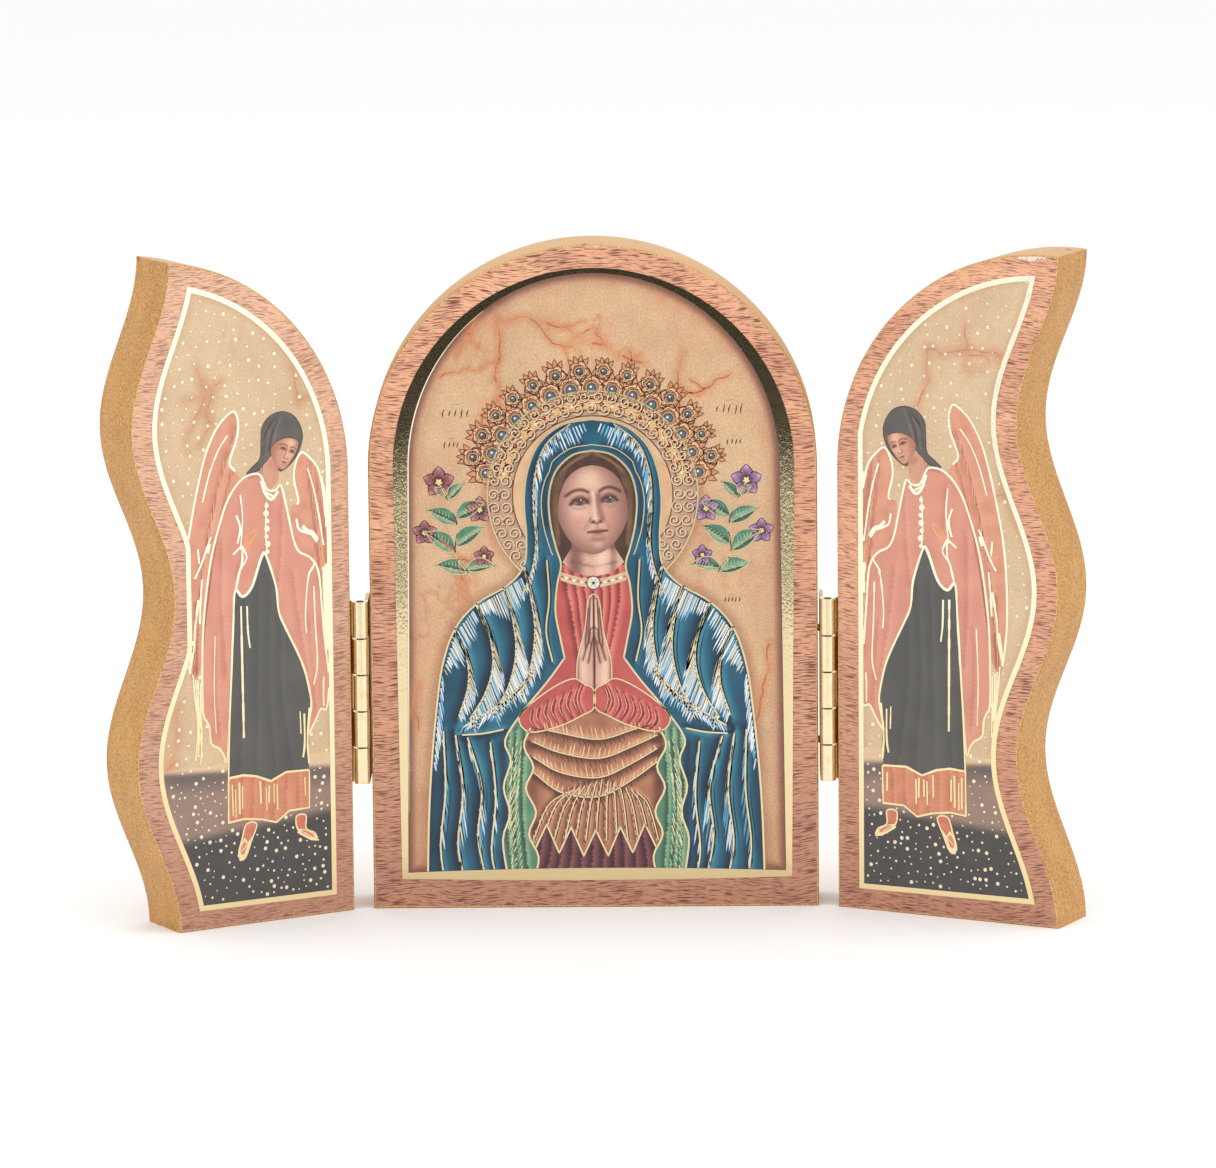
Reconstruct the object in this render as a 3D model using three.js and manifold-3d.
// A small folding triptych: an arched centre board with two wings on brass butt hinges.
// The wings were sawn apart along one wavy line, so they mesh when they are folded shut.
// Millimetres, +Z up. The origin is the middle of the centre board's underside, and the
// printed faces look along -Y when the wings are folded open flat.

import * as THREE from "three";
import { mergeVertices } from "three/addons/utils/BufferGeometryUtils.js";
import Module from "manifold-3d";

const wasm = await Module();
wasm.setup();

// Boards
const boardHeight = 100;
const boardWidth = 66.6;
const boardThickness = 10;
const arrisChamfer = 0.3; // the broken edge around each face
const waveAmplitude = 3.3; // half the swing of the wavy saw cut
const waveCount = 2; // full waves from the bottom to the top
const sawKerf = 0.9; // the gap between the shut wings
const archSegments = 56;
const waveSegments = 72;

// Hinges
const hingeLength = 27.5;
const hingeMiddleHeight = 33; // above the underside
const knuckleCount = 5;
const knuckleGap = 0.24;
const barrelRadius = 1.15;
const leafThickness = 0.55;
const leafReach = 8.2; // from the hinge axis to the leaf's far edge
const leafCornerRadius = 0.6;
const seatGap = 0.3; // between a leaf and the board's edge behind it
const faceGap = 0.25; // how far the hinge axis stands ahead of a printed face
const knuckleClearance = 0.16; // around the other leaf's knuckles
const pinRadius = 0.55;
const pinClearance = 0.09;
const pinStandOut = 0.12; // at each end of the barrel
const roundSides = 24;

// Screws
const screwEndMargin = 5.25; // from a leaf's end to the middle of its nearest screw
const screwRowReach = 4.9; // from the hinge axis
const screwHeadRadius = 1.15;
const screwShankRadius = 0.55;
const screwLength = 6.5; // under the head's face
const screwTipLength = 1.2;
const screwClearance = 0.08;
const slotWidth = 0.34;
const slotDepth = 0.22;

// How far each wing stands folded forward from flat, in degrees
const leftWingFold = 31.4;
const rightWingFold = 27.2;

// Derived places
const archRadius = boardWidth / 2;
const springHeight = boardHeight - archRadius;
const axisOutset = barrelRadius + seatGap; // from a board's edge to the hinge axis
const frontFaceY = -boardThickness / 2;
const axisY = frontFaceY - faceGap;
const hingeBottom = hingeMiddleHeight - hingeLength / 2;
const knuckleLength = hingeLength / knuckleCount;
const screwSpacing = hingeLength - 2 * screwEndMargin;

const materials = {
  board: new THREE.MeshStandardMaterial({ color: 0xc48a62, roughness: 0.5, metalness: 0 }),
  brass: new THREE.MeshStandardMaterial({ color: 0xd8b765, roughness: 0.3, metalness: 1 }),
};

// A three.js geometry as a manifold-3d solid.
function toSolid(geometry) {
  const bare = geometry.index ? geometry.toNonIndexed() : geometry.clone();
  for (const name of Object.keys(bare.attributes)) {
    if (name !== "position") bare.deleteAttribute(name);
  }
  const merged = mergeVertices(bare, 1e-4);
  return new wasm.Manifold(
    new wasm.Mesh({
      numProp: 3,
      vertProperties: new Float32Array(merged.attributes.position.array),
      triVerts: new Uint32Array(merged.index.array),
    }),
  );
}

// A manifold-3d solid as a three.js geometry.
function toGeometry(solid) {
  const mesh = solid.getMesh();
  const geometry = new THREE.BufferGeometry();
  geometry.setAttribute("position", new THREE.BufferAttribute(new Float32Array(mesh.vertProperties), 3));
  geometry.setIndex(new THREE.BufferAttribute(new Uint32Array(mesh.triVerts), 1));
  const flat = geometry.toNonIndexed();
  flat.computeVertexNormals();
  return flat;
}

function namedMesh(name, geometry, material) {
  const mesh = new THREE.Mesh(geometry, material);
  mesh.name = name;
  return mesh;
}

// An outline in the X-Z plane as a board whose face lies at faceY and whose back lies behind it, with
// its arrises broken.
function boardFrom(outline, faceY) {
  const geometry = new THREE.ExtrudeGeometry(new THREE.Shape(outline), {
    depth: boardThickness - 2 * arrisChamfer,
    bevelEnabled: true,
    bevelThickness: arrisChamfer,
    bevelSize: arrisChamfer,
    bevelOffset: -arrisChamfer,
    bevelSegments: 1,
  });
  geometry.rotateX(Math.PI / 2); // the outline stands up and the depth runs along -Y
  geometry.translate(0, faceY + boardThickness - arrisChamfer, 0);
  return geometry;
}

// A block between two corners.
function block(low, high) {
  const size = high.clone().sub(low);
  const geometry = new THREE.BoxGeometry(size.x, size.y, size.z);
  geometry.translate(...low.clone().add(high).divideScalar(2).toArray());
  return toSolid(geometry);
}

// An upright cylinder around the hinge axis, which is the local Z axis.
function upright(radius, low, high) {
  const geometry = new THREE.CylinderGeometry(radius, radius, high - low, roundSides);
  geometry.rotateX(Math.PI / 2);
  geometry.translate(0, 0, (low + high) / 2);
  return toSolid(geometry);
}

// A profile of [radius, height] pairs turned about the axis, then laid along +X.
function turnedAlongX(profile) {
  const points = profile.map(([radius, height]) => new THREE.Vector2(radius, height));
  const geometry = new THREE.LatheGeometry(points, roundSides);
  geometry.rotateZ(-Math.PI / 2);
  return toSolid(geometry);
}

// The wavy saw line, as the distance from the middle at a height, positive towards the right wing's hinge.
function waveOffset(height) {
  return -waveAmplitude * Math.cos((2 * Math.PI * waveCount * height) / boardHeight);
}

// The height of the arch at a distance from the hinge-side edge.
function archHeight(distance) {
  const fromMiddle = archRadius - distance;
  return springHeight + Math.sqrt(Math.max(archRadius ** 2 - fromMiddle ** 2, 0));
}

// How far a wing reaches from its hinge-side edge at a height. side is -1 for the left wing and 1 for
// the right one.
function wingReach(side, height) {
  return archRadius - side * waveOffset(height) - sawKerf / 2;
}

// The height at which the saw line leaves the board through the arch.
function tipHeight(side) {
  let low = springHeight;
  let high = boardHeight;
  for (let step = 0; step < 40; step++) {
    const middle = (low + high) / 2;
    if (archHeight(wingReach(side, middle)) > middle) low = middle;
    else high = middle;
  }
  return low;
}

function centreOutline() {
  const points = [new THREE.Vector2(-archRadius, 0), new THREE.Vector2(archRadius, 0)];
  for (let i = 0; i <= archSegments; i++) {
    const angle = (Math.PI * i) / archSegments;
    points.push(new THREE.Vector2(archRadius * Math.cos(angle), springHeight + archRadius * Math.sin(angle)));
  }
  return points;
}

// A wing's outline, with the hinge axis at 0 and the wing running towards side.
function wingOutline(side) {
  const top = tipHeight(side);
  const points = [new THREE.Vector2(0, 0)];
  for (let i = 0; i <= waveSegments; i++) {
    const height = (top * i) / waveSegments;
    points.push(new THREE.Vector2(wingReach(side, height), height));
  }
  const tipAngle = Math.acos(1 - wingReach(side, top) / archRadius);
  const steps = Math.round((archSegments * tipAngle) / Math.PI);
  for (let i = steps - 1; i >= 0; i--) {
    const angle = (tipAngle * i) / steps;
    points.push(
      new THREE.Vector2(archRadius * (1 - Math.cos(angle)), springHeight + archRadius * Math.sin(angle)),
    );
  }
  return points.map((point) => new THREE.Vector2(side * (axisOutset + point.x), point.y));
}

// The heights of a hinge's screws.
function screwHeights() {
  return [hingeMiddleHeight + screwSpacing / 2, hingeMiddleHeight - screwSpacing / 2];
}

// A countersunk screw lying along +X, with its head's face at 0, grown by clearance all round.
function screwBody(clearance) {
  const head = screwHeadRadius + clearance;
  const shank = screwShankRadius + clearance;
  return turnedAlongX([
    [0, -clearance],
    [head, -clearance],
    [head, 0],
    [shank, screwHeadRadius - screwShankRadius],
    [shank, screwLength - screwTipLength + clearance],
    [0, screwLength + clearance],
  ]);
}

// Places a tool that lies along +X on a leaf, seen from the hinge axis: side 1 for a leaf whose board
// is at +X and -1 for one whose board is at -X.
function onLeaf(tool, side, height) {
  const turned = side > 0 ? tool : tool.rotate([0, 0, 180]);
  return turned.translate([side * (barrelRadius - leafThickness), screwRowReach, height]);
}

function screwSolid(side, height) {
  const slot = block(
    new THREE.Vector3(-slotDepth, -2 * screwHeadRadius, -slotWidth / 2),
    new THREE.Vector3(slotDepth, 2 * screwHeadRadius, slotWidth / 2),
  );
  return onLeaf(screwBody(0).subtract(slot), side, height);
}

// The screw holes of one leaf, as one solid to cut away from the leaf and from the board behind it.
function screwHoles(side) {
  return screwHeights()
    .map((height) => onLeaf(screwBody(screwClearance), side, height))
    .reduce((all, hole) => all.add(hole));
}

// A leaf's flat plate, with round corners at its far edge.
function leafPlate(side) {
  const near = 0;
  const far = leafReach;
  const low = hingeBottom;
  const high = hingeBottom + hingeLength;
  const r = leafCornerRadius;
  const shape = new THREE.Shape();
  shape.moveTo(near, low);
  shape.lineTo(far - r, low);
  shape.absarc(far - r, low + r, r, -Math.PI / 2, 0, false);
  shape.lineTo(far, high - r);
  shape.absarc(far - r, high - r, r, 0, Math.PI / 2, false);
  shape.lineTo(near, high);
  shape.closePath();
  const geometry = new THREE.ExtrudeGeometry(shape, {
    depth: leafThickness,
    bevelEnabled: false,
    curveSegments: 5,
  });
  // The shape's X becomes the leaf's Y, its Y becomes Z, and its depth becomes X.
  geometry.applyMatrix4(new THREE.Matrix4().set(0, 0, 1, 0, 1, 0, 0, 0, 0, 1, 0, 0, 0, 0, 0, 1));
  const inner = barrelRadius - leafThickness;
  geometry.translate(side > 0 ? inner : -inner - leafThickness, 0, 0);
  return toSolid(geometry);
}

// One hinge leaf around the hinge axis at X 0, Y 0. firstKnuckle is 0 or 1: the leaf has every second
// knuckle from there, and is cut clear of the others.
function leafSolid(side, firstKnuckle) {
  let leaf = leafPlate(side);
  for (let i = 0; i < knuckleCount; i++) {
    const low = hingeBottom + i * knuckleLength;
    const high = low + knuckleLength;
    if (i % 2 === firstKnuckle) {
      const trimLow = i === 0 ? 0 : knuckleGap / 2;
      const trimHigh = i === knuckleCount - 1 ? 0 : knuckleGap / 2;
      leaf = leaf.add(upright(barrelRadius, low + trimLow, high - trimHigh));
    } else {
      const room = barrelRadius + knuckleClearance;
      leaf = leaf.subtract(
        block(
          new THREE.Vector3(-room, -room, low - (i === 0 ? 1 : knuckleGap / 2)),
          new THREE.Vector3(room, room, high + (i === knuckleCount - 1 ? 1 : knuckleGap / 2)),
        ),
      );
    }
  }
  const bore = upright(pinRadius + pinClearance, hingeBottom - 1, hingeBottom + hingeLength + 1);
  return leaf.subtract(bore).subtract(screwHoles(side));
}

// The hinge pin, with slightly domed ends.
function pinGeometry() {
  const low = hingeBottom - pinStandOut;
  const high = hingeBottom + hingeLength + pinStandOut;
  const crown = pinRadius * 0.75;
  const points = [
    [0, low],
    [crown, low],
    [pinRadius, low + pinStandOut],
    [pinRadius, high - pinStandOut],
    [crown, high],
    [0, high],
  ].map(([radius, height]) => new THREE.Vector2(radius, height));
  const geometry = new THREE.LatheGeometry(points, roundSides);
  geometry.rotateX(Math.PI / 2);
  return geometry;
}

// The leaf and screws that belong to one board, around the hinge axis. boardSide is where the board
// lies from the axis.
function hingeHalf(hingeName, leafName, boardSide, firstKnuckle) {
  const half = new THREE.Group();
  half.add(
    namedMesh(`${hingeName}_${leafName}_leaf`, toGeometry(leafSolid(boardSide, firstKnuckle)), materials.brass),
  );
  screwHeights().forEach((height, i) => {
    const position = i === 0 ? "upper" : "lower";
    half.add(
      namedMesh(
        `${hingeName}_${leafName}_screw_${position}`,
        toGeometry(screwSolid(boardSide, height)),
        materials.brass,
      ),
    );
  });
  return half;
}

// The centre board, with the screw holes of both hinges in its edges.
function centreBoard() {
  let board = toSolid(boardFrom(centreOutline(), frontFaceY));
  for (const side of [-1, 1]) {
    const axisX = side * (archRadius + axisOutset);
    board = board.subtract(screwHoles(-side).translate([axisX, axisY, 0]));
  }
  return namedMesh("centre_panel", toGeometry(board), materials.board);
}

// A wing with its half of the hinge, in a group that turns about the hinge axis. side is -1 for the
// left wing and 1 for the right one.
function wing(side, sideName, foldDegrees) {
  const group = new THREE.Group();
  const board = toSolid(boardFrom(wingOutline(side), faceGap)).subtract(screwHoles(side));
  group.add(namedMesh(`${sideName}_wing`, toGeometry(board), materials.board));
  group.add(hingeHalf(`${sideName}_hinge`, "wing", side, 1));
  group.position.set(side * (archRadius + axisOutset), axisY, 0);
  group.rotation.z = -side * THREE.MathUtils.degToRad(foldDegrees);
  return group;
}

// The half of a hinge that stays on the centre board, with the pin.
function fixedHinge(side, sideName) {
  const group = hingeHalf(`${sideName}_hinge`, "centre", -side, 0);
  group.add(namedMesh(`${sideName}_hinge_pin`, pinGeometry(), materials.brass));
  group.position.set(side * (archRadius + axisOutset), axisY, 0);
  return group;
}

const triptych = new THREE.Group();
triptych.add(centreBoard());
triptych.add(fixedHinge(-1, "left"));
triptych.add(fixedHinge(1, "right"));
triptych.add(wing(-1, "left", leftWingFold));
triptych.add(wing(1, "right", rightWingFold));

export default triptych;
